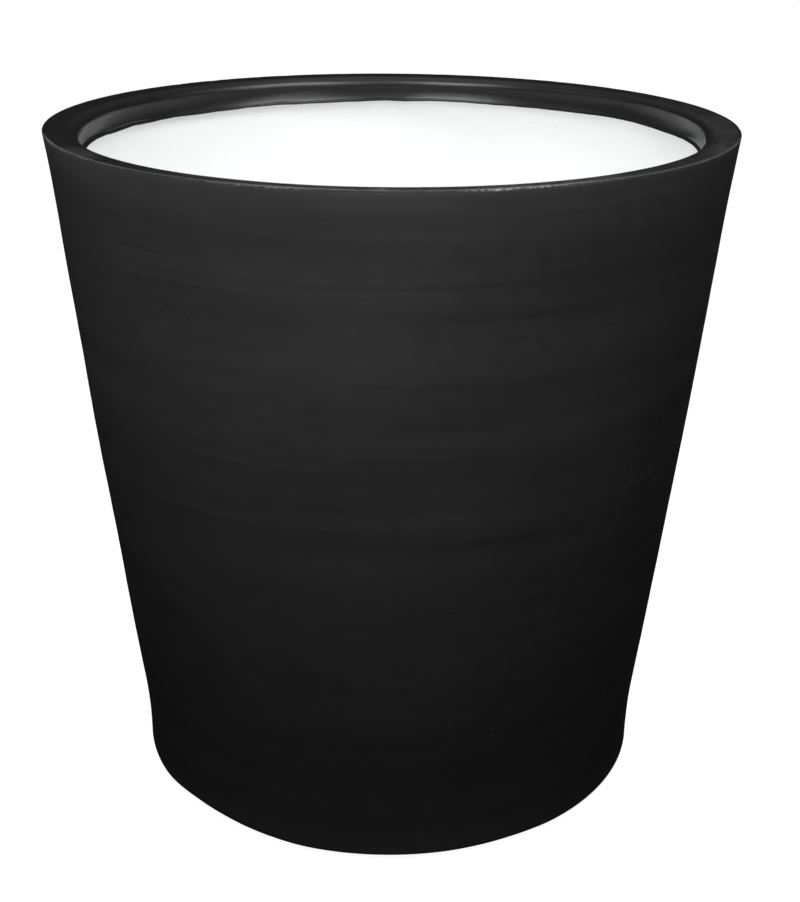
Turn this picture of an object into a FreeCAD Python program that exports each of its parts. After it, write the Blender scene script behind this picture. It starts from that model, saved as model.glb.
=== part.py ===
"""Round tapered floor planter, about 600 mm across the rim and 600 mm tall.

A black glass-fibre shell with a heavy standing ring, a white inner liner bonded to it,
a separate rim ring with a turned-down lip that drops into a rebate round the mouth,
a flanged drain outlet with its seal, washer and backnut, a pull-out drain plug and
six rubber foot pads.

Frame: millimetres, +Z up, origin on the floor under the middle of the pot.
"""

import FreeCAD, Part
import Sketcher
import math
import os

V = FreeCAD.Vector
doc = FreeCAD.newDocument("planter")

# ---------------------------------------------------------------- driving dimensions
SIZES = [
    # outside of the shell; heights count from the underside of the standing ring
    ("stand", 5.0, "pads lift the standing ring off the floor by this"),
    ("rim_r", 300.0, "outer radius at the top edge"),
    ("pot_high", 600.0, "standing ring to rim top"),
    ("flare_r", 290.91, "outer radius where the top flare starts"),
    ("flare_z", 522.0, "height where the top flare starts"),
    ("flare_arc", 1941.9, "arc radius of the flare, hollow outwards"),
    ("belly_arc", 16628.0, "arc radius of the slightly barrelled wall"),
    ("foot_r", 242.63, "outer radius where the foot starts"),
    ("foot_z", 81.0, "height where the foot starts"),
    ("foot_arc", 598.0, "arc radius of the foot, hollow outwards"),
    ("heel_r", 238.16, "outer radius just above the heel"),
    ("heel_round", 4.5, "rounding between wall and underside"),
    # laminate
    ("shell_wall", 5.0, "shell wall, measured level"),
    ("liner_wall", 2.5, "liner wall, measured level"),
    ("floor_z", 18.0, "top of the shell floor"),
    ("kick_z", 12.0, "underside of the shell floor inside the standing ring"),
    ("ring_in_r", 160.0, "inner radius of the standing ring at the recess roof"),
    ("ring_in_low", 168.0, "inner radius of the standing ring at its underside"),
    ("dish_r", 40.0, "radius of the flat drain dish"),
    ("dish_edge", 44.0, "radius where the dish meets the floor"),
    ("dish_drop", 4.0, "depth of the drain dish"),
    ("liner_round", 16.0, "rounding between liner wall and liner floor"),
    ("shell_round", 14.0, "rounding between shell wall and shell floor, inside"),
    # rim ring
    ("rim_plate", 6.0, "thickness of the rim plate, which is the rebate depth"),
    ("rebate_r", 297.6, "radius of the rebate"),
    ("edge_bevel", 0.8, "bevel on the shell's top edge"),
    ("edge_lean", 0.11, "how far the wall leans in over the bevel's height"),
    ("rebate_lean", 0.814, "how far the wall leans in over the rebate's depth"),
    ("lip_r", 270.0, "radius of the lip's face"),
    ("mouth_r", 266.0, "clear radius inside the bead at the lip's foot"),
    ("nose_round", 7.5, "rounding from rim top to lip"),
    ("lip_drop", 23.5, "rim top to the lower edge of the lip"),
    ("lip_wall", 5.5, "lip thickness"),
    ("bead_high", 2.5, "height of the bead's upright edge, with its rounding"),
    ("bead_round", 0.9, "rounding under the bead"),
    ("lip_round", 2.0, "rounding of the lip's outer lower edge"),
    ("throat_round", 5.0, "rounding under the rim, between plate and lip"),
    # drain outlet
    ("hole_r", 13.25, "hole through liner and shell"),
    ("bush_r", 13.0, "outside radius of the outlet's shank"),
    ("bore_r", 10.0, "bore of the outlet"),
    ("flange_r", 27.0, "flange radius"),
    ("flange_high", 2.5, "flange thickness"),
    ("bore_lead", 1.0, "lead-in at the top of the bore"),
    ("flange_round", 1.0, "rounding of the flange's top edge"),
    ("shank_bevel", 0.6, "bevel on the shank's end"),
    ("seal_r", 25.0, "seal outer radius"),
    ("seal_in_r", 13.2, "seal and washer inner radius"),
    ("seal_high", 2.0, "seal thickness"),
    ("washer_r", 24.0, "washer outer radius"),
    ("washer_high", 1.5, "washer thickness"),
    ("nut_af", 38.0, "backnut across flats"),
    ("nut_high", 7.0, "backnut height"),
    ("nut_bore_r", 13.05, "backnut bore, clear of the shank"),
    ("shank_past", 0.8, "shank end past the backnut"),
    # drain plug
    ("plug_head_r", 14.0, "plug head radius"),
    ("plug_head", 3.5, "plug head height"),
    ("plug_round", 1.2, "rounding of the head's edge"),
    ("plug_top_r", 9.7, "plug body radius under the head"),
    ("plug_tip_r", 8.6, "plug body radius at the tip"),
    ("plug_long", 16.5, "plug body length"),
    ("plug_tip", 1.5, "lead on the plug tip"),
    ("tab_wide", 16.0, "pull tab width"),
    ("tab_thick", 4.0, "pull tab thickness"),
    ("tab_high", 8.0, "pull tab, head to the middle of its round end"),
    ("tab_hole", 3.5, "finger-ring hole radius in the tab"),
    ("tab_bite", 1.0, "tab foot inside the head"),
    # foot pads
    ("pad_count", 6.0, "foot pads"),
    ("pad_circle", 199.0, "radius of the circle the pads lie on"),
    ("pad_r", 20.0, "pad radius"),
    ("pad_seat_r", 20.3, "radius of the pad's pocket"),
    ("pad_seat", 2.0, "depth of the pad's pocket"),
    ("pad_bevel", 1.2, "bevel on the pad's lower edge"),
]

sheet = doc.addObject("Spreadsheet::Sheet", "dims")
for row, (alias, value, note) in enumerate(SIZES, start=1):
    sheet.set("A%d" % row, alias)
    sheet.set("B%d" % row, repr(value))
    sheet.set("C%d" % row, note)
    sheet.setAlias("B%d" % row, alias)
doc.recompute()


class Q:
    """A size with the spreadsheet expression that gives it, so a sketch can be drawn and bound at once."""

    def __init__(self, value, text):
        self.value, self.text = float(value), text

    @staticmethod
    def of(x):
        return x if isinstance(x, Q) else Q(x, repr(float(x)))

    def _with(self, other, sign, value):
        return Q(value, "(%s %s %s)" % (self.text, sign, other.text))

    def __add__(self, o):
        o = Q.of(o)
        return self._with(o, "+", self.value + o.value)

    def __sub__(self, o):
        o = Q.of(o)
        return self._with(o, "-", self.value - o.value)

    def __mul__(self, o):
        o = Q.of(o)
        return self._with(o, "*", self.value * o.value)

    def __truediv__(self, o):
        o = Q.of(o)
        return self._with(o, "/", self.value / o.value)


class Sizes:
    pass


d = Sizes()
for alias, value, note in SIZES:
    setattr(d, alias, Q(sheet.get(alias), "dims." + alias))


def plane(body, role):
    return next(f for f in body.Origin.OriginFeatures if f.Role == role)


def new_body(label):
    body = doc.addObject("PartDesign::Body", label)
    body.Label = label
    return body


def new_sketch(body, name, role):
    sk = body.newObject("Sketcher::SketchObject", name)
    sk.AttachmentSupport = [(plane(body, role), "")]
    sk.MapMode = "FlatFace"
    return sk


def bind(sk, index, name, size):
    sk.renameConstraint(index, name)
    sk.setExpression("Constraints." + name, size.text)


def put_point(sk, geo, pos, name, x, y):
    """Holds one vertex of the sketch at (x, y), both bound to the spreadsheet."""
    for axis, size, kind, letter in ((-2, x, "DistanceX", "x"), (-1, y, "DistanceY", "y")):
        if abs(size.value) < 1e-9:
            sk.addConstraint(Sketcher.Constraint("PointOnObject", geo, pos, axis))
        else:
            i = sk.addConstraint(Sketcher.Constraint(kind, -1, 1, geo, pos, size.value))
            bind(sk, i, name + letter, size)


def closed_profile(sk, corners, arcs):
    """A closed outline through corners, [(x, y), ...]. arcs maps a side's index to (radius, turn): turn is
    +1 where the outline bends left on its way along that side and -1 where it bends right. Other sides are straight."""
    n = len(corners)
    ends = []
    for i in range(n):
        (ax, ay), (bx, by) = corners[i], corners[(i + 1) % n]
        a, b = V(ax.value, ay.value, 0), V(bx.value, by.value, 0)
        if i not in arcs:
            g = sk.addGeometry(Part.LineSegment(a, b), False)
            ends.append((g, 1, 2))
            continue
        radius, turn = arcs[i]
        chord = b - a
        half = chord.Length / 2
        across = V(-chord.y, chord.x, 0).normalize() * turn
        centre = (a + b) * 0.5 + across * math.sqrt(max(radius.value**2 - half**2, 0.0))
        first, last = (a, b) if turn > 0 else (b, a)  # arcs run anticlockwise
        t0 = math.atan2(first.y - centre.y, first.x - centre.x)
        t1 = math.atan2(last.y - centre.y, last.x - centre.x)
        if t1 <= t0:
            t1 += 2 * math.pi
        g = sk.addGeometry(Part.ArcOfCircle(Part.Circle(centre, V(0, 0, 1), radius.value), t0, t1), False)
        ends.append((g, 1, 2) if turn > 0 else (g, 2, 1))
    for i in range(n):
        g, s, e = ends[i]
        g2, s2, e2 = ends[(i + 1) % n]
        sk.addConstraint(Sketcher.Constraint("Coincident", g, e, g2, s2))
    for i in range(n):
        put_point(sk, ends[i][0], ends[i][1], "p%d" % i, *corners[i])
    for i, (radius, turn) in sorted(arcs.items()):
        c = sk.addConstraint(Sketcher.Constraint("Radius", ends[i][0], radius.value))
        bind(sk, c, "arc%d" % i, radius)
    return sk


def turned(body, name, corners, arcs):
    """A full turn of a closed outline, drawn as (radius, height), about the pot's axis."""
    sk = closed_profile(new_sketch(body, name + "_outline", "XZ_Plane"), corners, arcs)
    doc.recompute()
    rev = body.newObject("PartDesign::Revolution", name)
    rev.Profile = sk
    rev.ReferenceAxis = (sk, ["V_Axis"])
    rev.Angle = 360.0
    doc.recompute()
    return rev


zero = Q(0.0, "0.0")
up = d.stand  # underside of the standing ring


# ---------------------------------------------------------------- outer shell
# Wall with a flared top, slightly barrelled sides and a foot that turns upright, a thick standing ring
# with a recess inside it, and a shallow dish in the floor round the drain hole.
def wall_at(inset):
    """The wall's outline, moved in by inset: (radius, height) of the flare, foot and heel joints."""
    return (
        (d.flare_r - inset, up + d.flare_z),
        (d.foot_r - inset, up + d.foot_z),
    )


def foot_at(height):
    """Radius of the foot's outline at a height above the standing ring, below the top of the foot."""
    rise = height - d.heel_round
    r = d.foot_arc.value
    return d.heel_r + Q(
        r - math.sqrt(r * r - rise.value**2), "(dims.foot_arc - sqrt(dims.foot_arc ^ 2 - %s ^ 2))" % rise.text
    )


shell_turn = foot_at(d.floor_z + d.shell_round) - d.shell_wall  # inside of the shell, above its corner rounding
liner_turn = foot_at(d.floor_z + d.liner_wall + d.liner_round) - d.shell_wall - d.liner_wall

shell = new_body("outer_shell")
(f_out, f_low) = wall_at(zero)
(i_out, i_low) = wall_at(d.shell_wall)
s_corners = [
    (d.hole_r, up + d.kick_z - d.dish_drop),  # 0 drain hole, underside
    (d.dish_r, up + d.kick_z - d.dish_drop),  # 1
    (d.dish_edge, up + d.kick_z),  # 2
    (d.ring_in_r, up + d.kick_z),  # 3 recess roof
    (d.ring_in_low, up),  # 4 inside edge of the standing ring
    (d.heel_r - d.heel_round, up),  # 5 standing face
    (d.heel_r, up + d.heel_round),  # 6 heel
    f_low,  # 7 top of the foot
    f_out,  # 8 start of the flare
    (d.rim_r - d.edge_lean, up + d.pot_high - d.edge_bevel),  # 9 top edge
    (d.rim_r - d.edge_bevel, up + d.pot_high),  # 10
    (d.rebate_r, up + d.pot_high),  # 11 rebate wall
    (d.rebate_r, up + d.pot_high - d.rim_plate),  # 12 rebate floor
    (d.rim_r - d.rebate_lean - d.shell_wall, up + d.pot_high - d.rim_plate),  # 13 inside of the wall
    i_out,  # 14
    i_low,  # 15
    (shell_turn, up + d.floor_z + d.shell_round),  # 16
    (shell_turn - d.shell_round, up + d.floor_z),  # 17 floor
    (d.dish_edge, up + d.floor_z),  # 18
    (d.dish_r, up + d.floor_z - d.dish_drop),  # 19 dish
    (d.hole_r, up + d.floor_z - d.dish_drop),  # 20 drain hole
]
s_arcs = {
    5: (d.heel_round, +1),
    6: (d.foot_arc, -1),
    7: (d.belly_arc, +1),
    8: (d.flare_arc, -1),
    13: (d.flare_arc, +1),
    14: (d.belly_arc, -1),
    15: (d.foot_arc, +1),
    16: (d.shell_round, -1),
}
turned(shell, "shell_turned", s_corners, s_arcs)

# pockets for the foot pads, moulded into the standing ring
sk = new_sketch(shell, "pad_pocket_outline", "XY_Plane")
sk.addGeometry(Part.Circle(V(d.pad_circle.value, 0, 0), V(0, 0, 1), d.pad_seat_r.value), False)
i = sk.addConstraint(Sketcher.Constraint("Radius", 0, d.pad_seat_r.value))
bind(sk, i, "seat_r", d.pad_seat_r)
i = sk.addConstraint(Sketcher.Constraint("DistanceX", -1, 1, 0, 3, d.pad_circle.value))
bind(sk, i, "circle_r", d.pad_circle)
sk.addConstraint(Sketcher.Constraint("PointOnObject", 0, 3, -1))
doc.recompute()
before = shell.Shape.Volume
pocket = shell.newObject("PartDesign::Pocket", "pad_pocket")
pocket.Profile = sk
pocket.Type = "Length"
pocket.setExpression("Length", (up + d.pad_seat).text)
pocket.Reversed = True  # upwards from the floor plane
doc.recompute()
pattern = shell.newObject("PartDesign::PolarPattern", "pad_pockets")
pattern.Originals = [pocket]
pattern.Axis = (sk, ["N_Axis"])
pattern.Angle = 360.0
pattern.setExpression("Occurrences", "dims.pad_count")
shell.Tip = pattern
doc.recompute()
cut = before - shell.Shape.Volume
want = d.pad_count.value * math.pi * d.pad_seat_r.value**2 * d.pad_seat.value
print("pad pockets cut %.1f mm3, expected %.1f" % (cut, want))
if abs(cut - want) > 0.02 * want:
    raise SystemExit("the pad pockets didn't cut what they should")

# ---------------------------------------------------------------- inner liner
# White skin on the inside of the shell: wall up to the rim plate, floor, and the drain dish.
liner = new_body("inner_liner")
both = d.shell_wall + d.liner_wall
(o_out, o_low) = wall_at(d.shell_wall)
(n_out, n_low) = wall_at(both)
top = up + d.pot_high - d.rim_plate
l_corners = [
    (d.hole_r, up + d.floor_z - d.dish_drop),  # 0
    (d.dish_r, up + d.floor_z - d.dish_drop),  # 1
    (d.dish_edge, up + d.floor_z),  # 2
    (shell_turn - d.shell_round, up + d.floor_z),  # 3
    (shell_turn, up + d.floor_z + d.shell_round),  # 4
    o_low,  # 5
    o_out,  # 6
    (d.rim_r - d.rebate_lean - d.shell_wall, top),  # 7
    (d.rim_r - d.rebate_lean - both, top),  # 8
    n_out,  # 9
    n_low,  # 10
    (liner_turn, up + d.floor_z + d.liner_wall + d.liner_round),  # 11
    (liner_turn - d.liner_round, up + d.floor_z + d.liner_wall),  # 12
    (d.dish_edge, up + d.floor_z + d.liner_wall),  # 13
    (d.dish_r, up + d.floor_z + d.liner_wall - d.dish_drop),  # 14
    (d.hole_r, up + d.floor_z + d.liner_wall - d.dish_drop),  # 15
]
l_arcs = {
    3: (d.shell_round, +1),
    4: (d.foot_arc, -1),
    5: (d.belly_arc, +1),
    6: (d.flare_arc, -1),
    8: (d.flare_arc, +1),
    9: (d.belly_arc, -1),
    10: (d.foot_arc, +1),
    11: (d.liner_round, -1),
}
turned(liner, "liner_turned", l_corners, l_arcs)

# ---------------------------------------------------------------- rim ring
# Flat rim plate that sits in the shell's rebate and on the liner's edge, a full rounding, and a lip that hangs inside the mouth
# and ends in a small inward bead.
rim = new_body("rim_ring")
rz = up + d.pot_high
back = d.lip_r + d.lip_wall
low = rz - d.lip_drop
cove = d.lip_r - d.mouth_r  # hollow rounding between the lip's face and the bead
r_corners = [
    (d.rebate_r, rz - d.rim_plate),  # 0 outer edge, in the rebate
    (d.rebate_r, rz),  # 1
    (d.lip_r + d.nose_round, rz),  # 2 flat top
    (d.lip_r, rz - d.nose_round),  # 3 nose
    (d.lip_r, low + d.bead_high + cove),  # 4 lip face
    (d.mouth_r, low + d.bead_high),  # 5 cove
    (d.mouth_r, low + d.bead_round),  # 6 bead
    (d.mouth_r + d.bead_round, low),  # 7
    (back - d.lip_round, low),  # 8
    (back, low + d.lip_round),  # 9
    (back, rz - d.rim_plate - d.throat_round),  # 10
    (back + d.throat_round, rz - d.rim_plate),  # 11
]
r_arcs = {
    2: (d.nose_round, +1),
    4: (cove, -1),
    6: (d.bead_round, +1),
    8: (d.lip_round, +1),
    10: (d.throat_round, -1),
}
turned(rim, "rim_turned", r_corners, r_arcs)

# ---------------------------------------------------------------- drain outlet
dish = up + d.floor_z + d.liner_wall - d.dish_drop  # top of the liner in the dish
under = up + d.kick_z - d.dish_drop  # underside of the shell in the dish
seat = dish + d.seal_high  # underside of the flange
deck = seat + d.flange_high  # top of the flange
nut_top = under - d.washer_high
nut_low = nut_top - d.nut_high
end = nut_low - d.shank_past

bush = new_body("drain_bush")
turned(
    bush,
    "bush_turned",
    [
        (d.bore_r, end),
        (d.bush_r - d.shank_bevel, end),
        (d.bush_r, end + d.shank_bevel),
        (d.bush_r, seat),
        (d.flange_r, seat),
        (d.flange_r, deck - d.flange_round),
        (d.flange_r - d.flange_round, deck),
        (d.bore_r + d.bore_lead, deck),
        (d.bore_r, deck - d.bore_lead),
    ],
    {5: (d.flange_round, +1)},
)


def washer(label, outer, inner, low, high):
    """A flat round washer as one cylinder cut from another."""
    tool = []
    for part, radius in (("blank", outer), ("hole", inner)):
        c = doc.addObject("Part::Cylinder", label + "_" + part)
        c.setExpression("Radius", radius.text)
        c.setExpression("Height", high.text)
        c.setExpression(".Placement.Base.z", low.text)
        tool.append(c)
    ring = doc.addObject("Part::Cut", label)
    ring.Label = label
    ring.Base, ring.Tool = tool
    doc.recompute()
    return ring


seal = washer("drain_seal", d.seal_r, d.seal_in_r, dish, d.seal_high)
slip = washer("backnut_washer", d.washer_r, d.seal_in_r, nut_top, d.washer_high)

# backnut: a hexagon with turned corners
nut = new_body("drain_backnut")
sk = new_sketch(nut, "nut_hexagon", "XY_Plane")
corner_r = d.nut_af.value / math.sqrt(3)
pts = [V(corner_r * math.cos(math.radians(60 * k)), corner_r * math.sin(math.radians(60 * k)), 0) for k in range(6)]
for k in range(6):
    sk.addGeometry(Part.LineSegment(pts[k], pts[(k + 1) % 6]), False)
for k in range(6):
    sk.addConstraint(Sketcher.Constraint("Coincident", k, 2, (k + 1) % 6, 1))
for k in range(6):
    a = math.radians(60 * k)
    x = Q(pts[k].x, "(dims.nut_af / sqrt(3) * cos(%d deg))" % (60 * k))
    y = Q(pts[k].y if abs(pts[k].y) > 1e-6 else 0.0, "(dims.nut_af / sqrt(3) * sin(%d deg))" % (60 * k))
    put_point(sk, k, 1, "h%d" % k, x, y)
doc.recompute()
blank = nut.newObject("PartDesign::Pad", "nut_blank")
blank.Profile = sk
blank.setExpression("Length", d.nut_high.text)
doc.recompute()
sk = new_sketch(nut, "nut_bore_outline", "XY_Plane")
sk.addGeometry(Part.Circle(V(0, 0, 0), V(0, 0, 1), d.nut_bore_r.value), False)
sk.addConstraint(Sketcher.Constraint("Coincident", 0, 3, -1, 1))
i = sk.addConstraint(Sketcher.Constraint("Radius", 0, d.nut_bore_r.value))
bind(sk, i, "bore_r", d.nut_bore_r)
doc.recompute()
before = nut.Shape.Volume
bore = nut.newObject("PartDesign::Pocket", "nut_bore")
bore.Profile = sk
bore.Type = "Length"
bore.setExpression("Length", d.nut_high.text)
bore.Reversed = True
doc.recompute()
print("nut bore cut %.1f of %.1f mm3" % (before - nut.Shape.Volume, math.pi * d.nut_bore_r.value**2 * d.nut_high.value))
# both ends' corners turned down at 30 degrees
half_af = d.nut_af / 2.0
for side in ("low", "high"):
    g_sk = new_sketch(nut, "nut_corner_%s" % side, "XZ_Plane")
    far = half_af + 5.0
    if side == "low":
        tri = [(half_af, zero), (far, zero), (far, Q(5.0 * math.tan(math.radians(30)), "(5 * tan(30 deg))"))]
    else:
        tri = [
            (half_af, d.nut_high),
            (far, d.nut_high - Q(5.0 * math.tan(math.radians(30)), "(5 * tan(30 deg))")),
            (far, d.nut_high),
        ]
    closed_profile(g_sk, tri, {})
    doc.recompute()
    before = nut.Shape.Volume
    groove = nut.newObject("PartDesign::Groove", "nut_turned_%s" % side)
    groove.Profile = g_sk
    groove.ReferenceAxis = (g_sk, ["V_Axis"])
    groove.Angle = 360.0
    doc.recompute()
    print("nut corners %s took %.2f mm3" % (side, before - nut.Shape.Volume))
    if before - nut.Shape.Volume < 1.0:
        raise SystemExit("the nut's corners weren't turned")
nut.setExpression(".Placement.Base.z", nut_low.text)

# ---------------------------------------------------------------- drain plug
plug = new_body("drain_plug")
turned(
    plug,
    "plug_turned",
    [
        (zero, deck - d.plug_long),
        (d.plug_tip_r - d.plug_tip, deck - d.plug_long),
        (d.plug_tip_r, deck - d.plug_long + d.plug_tip),
        (d.plug_top_r, deck),
        (d.plug_head_r, deck),
        (d.plug_head_r, deck + d.plug_head - d.plug_round),
        (d.plug_head_r - d.plug_round, deck + d.plug_head),
        (zero, deck + d.plug_head),
    ],
    {5: (d.plug_round, +1)},
)
# pull tab standing on the head, with a round end and a hole
sk = new_sketch(plug, "tab_outline", "XZ_Plane")
h = d.tab_wide / 2.0
foot = deck + d.plug_head - d.tab_bite
mid = deck + d.plug_head + d.tab_high
minus_h = zero - h
closed_profile(
    sk,
    [(minus_h, foot), (h, foot), (h, mid), (minus_h, mid)],
    {2: (h + 0.0001, +1)},
)
i = sk.addGeometry(Part.Circle(V(0, mid.value, 0), V(0, 0, 1), d.tab_hole.value), False)
sk.addConstraint(Sketcher.Constraint("PointOnObject", i, 3, -2))
c = sk.addConstraint(Sketcher.Constraint("DistanceY", -1, 1, i, 3, mid.value))
bind(sk, c, "hole_z", mid)
c = sk.addConstraint(Sketcher.Constraint("Radius", i, d.tab_hole.value))
bind(sk, c, "hole_r", d.tab_hole)
doc.recompute()
tab = plug.newObject("PartDesign::Pad", "pull_tab")
tab.Profile = sk
tab.setExpression("Length", d.tab_thick.text)
tab.Midplane = True
doc.recompute()

# ---------------------------------------------------------------- foot pads
pads = []
for k in range(int(d.pad_count.value)):
    pad = new_body("foot_pad_%d" % (k + 1))
    turned(
        pad,
        "pad_turned_%d" % (k + 1),
        [
            (zero, zero),
            (d.pad_r - d.pad_bevel, zero),
            (d.pad_r, d.pad_bevel),
            (d.pad_r, up + d.pad_seat),
            (zero, up + d.pad_seat),
        ],
        {},
    )
    pad.setExpression(".Placement.Base.x", "dims.pad_circle * cos(%d * 360 deg / dims.pad_count)" % k)
    pad.setExpression(".Placement.Base.y", "dims.pad_circle * sin(%d * 360 deg / dims.pad_count)" % k)
    pads.append(pad)

# ---------------------------------------------------------------- check and write
doc.recompute()
bad = [o.Label for o in doc.Objects if "Invalid" in o.State or "Error" in o.State]
if bad:
    raise SystemExit("objects that failed: %s" % bad)

nodes = [shell, liner, rim, bush, seal, slip, nut, plug] + pads
os.makedirs("parts", exist_ok=True)
for o in nodes:
    s = o.Shape
    if s.isNull() or not s.isValid() or len(s.Solids) != 1:
        raise SystemExit("%s has no single valid solid" % o.Label)
for o in nodes:
    o.Shape.exportStep("parts/%s.step" % o.Label)
    bb = o.Shape.optimalBoundingBox(False, False)
    print(
        "%-16s %9.1f cm3  r %.2f  z %.2f..%.2f  faces %d"
        % (o.Label, o.Shape.Volume / 1000.0, bb.XMax, bb.ZMin, bb.ZMax, len(o.Shape.Faces))
    )
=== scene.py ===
import math

import bpy
import bmesh
import numpy as np
from mathutils import Matrix, Vector


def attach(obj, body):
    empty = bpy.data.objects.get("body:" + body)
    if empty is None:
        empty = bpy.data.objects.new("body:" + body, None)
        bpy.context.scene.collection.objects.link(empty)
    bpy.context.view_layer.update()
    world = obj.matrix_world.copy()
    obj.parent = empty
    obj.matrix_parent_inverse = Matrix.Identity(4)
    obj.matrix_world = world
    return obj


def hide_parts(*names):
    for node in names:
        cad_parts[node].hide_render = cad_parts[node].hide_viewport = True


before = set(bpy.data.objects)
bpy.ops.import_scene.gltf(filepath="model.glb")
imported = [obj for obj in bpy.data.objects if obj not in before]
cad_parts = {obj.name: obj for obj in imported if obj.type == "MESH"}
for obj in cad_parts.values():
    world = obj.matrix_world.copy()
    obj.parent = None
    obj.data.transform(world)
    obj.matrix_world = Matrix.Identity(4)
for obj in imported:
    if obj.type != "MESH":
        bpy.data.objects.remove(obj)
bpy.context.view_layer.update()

MM = 0.001
UP = 5.0  # the standing ring's underside is this far above the floor
TOP = UP + 600.0  # rim top


# ------------------------------------------------------------------ outlines and turned meshes
class Outline:
    """A chain of (radius, height) points, drawn piece by piece. Each side has a weight: its share of the texture space."""

    def __init__(self, r, z):
        self.pts = [(r, z)]
        self.weight = []

    def line(self, r, z, step=1e9, weight=1.0):
        r0, z0 = self.pts[-1]
        n = max(1, int(math.ceil(math.hypot(r - r0, z - z0) / step)))
        for i in range(1, n + 1):
            self.pts.append((r0 + (r - r0) * i / n, z0 + (z - z0) * i / n))
            self.weight.append(weight)
        return self

    def arc(self, r, z, radius, turn, step=2.0, weight=1.0):
        """turn is +1 where the outline bends left on its way and -1 where it bends right."""
        r0, z0 = self.pts[-1]
        dr, dz = r - r0, z - z0
        half = math.hypot(dr, dz) / 2
        k = math.sqrt(max(radius * radius - half * half, 0.0)) / (2 * half) * turn
        cr, cz = (r0 + r) / 2 - dz * k, (z0 + z) / 2 + dr * k
        a0 = math.atan2(z0 - cz, r0 - cr)
        a1 = math.atan2(z - cz, r - cr)
        if turn > 0 and a1 < a0:
            a1 += 2 * math.pi
        if turn < 0 and a1 > a0:
            a1 -= 2 * math.pi
        n = max(2, int(math.ceil(abs(a1 - a0) * radius / step)))
        for i in range(1, n + 1):
            a = a0 + (a1 - a0) * i / n
            self.pts.append((cr + radius * math.cos(a), cz + radius * math.sin(a)))
            self.weight.append(weight)
        return self


class Ripple:
    """Smooth unevenness round a turned surface, as a sum of seeded waves; RMS 1. Whole waves round the turn, so it closes."""

    def __init__(self, seed, count, around, along):
        g = np.random.default_rng(seed)
        self.n = g.integers(around[0], around[1] + 1, count)
        self.k = g.uniform(along[0], along[1], count) * g.choice([-1.0, 1.0], count)
        self.p = g.uniform(0, 2 * math.pi, count)
        a = g.uniform(0.4, 1.0, count) / np.sqrt(self.n)
        self.a = a / math.sqrt((a * a).sum() / 2)

    def __call__(self, theta, s):
        """theta per column, s (millimetres along the outline or upwards) per row."""
        out = np.zeros((len(s), len(theta)))
        for n, k, p, a in zip(self.n, self.k, self.p, self.a):
            out += a * np.cos(n * theta[None, :] + k * 0.001 * s[:, None] + p)
        return out


def turned(name, outline, segs, shift=None, closed=True, marks=None):
    """A mesh turned from an outline about the upright axis. shift(theta, r, z) gives (dr, dz) in millimetres for every row
    and column. closed joins the outline's end to its start; otherwise both ends lie on the axis and are closed there.
    marks names point attributes: name -> array of rows by columns."""
    p = np.array(outline.pts)
    weight = list(outline.weight)
    if closed:
        if np.hypot(*(p[0] - p[-1])) < 1e-6:
            p = p[:-1]
        else:
            weight.append(weight[-1])
    poles = not closed
    ring = p[1:-1] if poles else p
    theta = np.arange(segs) * 2 * math.pi / segs
    r = np.repeat(ring[:, 0][:, None], segs, 1)
    z = np.repeat(ring[:, 1][:, None], segs, 1)
    if shift is not None:
        dr, dz = shift(theta, ring[:, 0], ring[:, 1])
        r, z = r + dr, z + dz
    co = np.stack([r * np.cos(theta), r * np.sin(theta), z], -1).reshape(-1, 3) * MM
    rows = len(ring)
    verts = [tuple(c) for c in co]
    faces, uv = [], []
    # share of the texture's height for each side of the outline
    sides = len(p) if closed else len(p) - 1
    length = np.array([np.hypot(*(p[(i + 1) % len(p)] - p[i])) * weight[i] for i in range(sides)])
    v = np.concatenate([[0.0], np.cumsum(length)]) / length.sum()

    def at(i, j):
        return (i % rows) * segs + (j % segs)

    first = 0
    if poles:
        low, high = len(verts), len(verts) + 1
        verts += [(0, 0, p[0][1] * MM), (0, 0, p[-1][1] * MM)]
        first = 1
    for i in range(rows if closed else rows - 1):
        v0, v1 = v[i + first], v[i + first + 1]
        for j in range(segs):
            faces.append((at(i, j), at(i, j + 1), at(i + 1, j + 1), at(i + 1, j)))
            u0, u1 = j / segs, (j + 1) / segs
            uv += [(u0, v0), (u1, v0), (u1, v1), (u0, v1)]
    if poles:
        for j in range(segs):
            u0, u1 = j / segs, (j + 1) / segs
            faces.append((low, at(0, j + 1), at(0, j)))
            uv += [((u0 + u1) / 2, v[0]), (u1, v[1]), (u0, v[1])]
            faces.append((high, at(rows - 1, j), at(rows - 1, j + 1)))
            uv += [((u0 + u1) / 2, v[-1]), (u0, v[-2]), (u1, v[-2])]
    me = bpy.data.meshes.new(name)
    me.from_pydata(verts, [], faces)
    layer = me.uv_layers.new(name="OFBake")
    layer.data.foreach_set("uv", np.array(uv, np.float32).ravel() * 0.98 + 0.01)
    for key, values in (marks or {}).items():
        a = me.attributes.new(key, "FLOAT", "POINT")
        full = np.zeros(len(verts), np.float32)
        full[: rows * segs] = np.asarray(values, np.float32).reshape(-1)
        a.data.foreach_set("value", full)
    outward(me)
    me.polygons.foreach_set("use_smooth", [True] * len(me.polygons))
    me.update()
    ob = bpy.data.objects.new(name, me)
    bpy.context.scene.collection.objects.link(ob)
    return ob


def outward(me):
    """Turns the faces of one closed mesh so that they look out."""
    bm = bmesh.new()
    bm.from_mesh(me)
    if bm.calc_volume(signed=True) < 0:
        bmesh.ops.reverse_faces(bm, faces=bm.faces)
    bm.to_mesh(me)
    bm.free()


def smoothstep(x, a, b):
    t = np.clip((x - a) / (b - a), 0, 1)
    return t * t * (3 - 2 * t)


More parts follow.
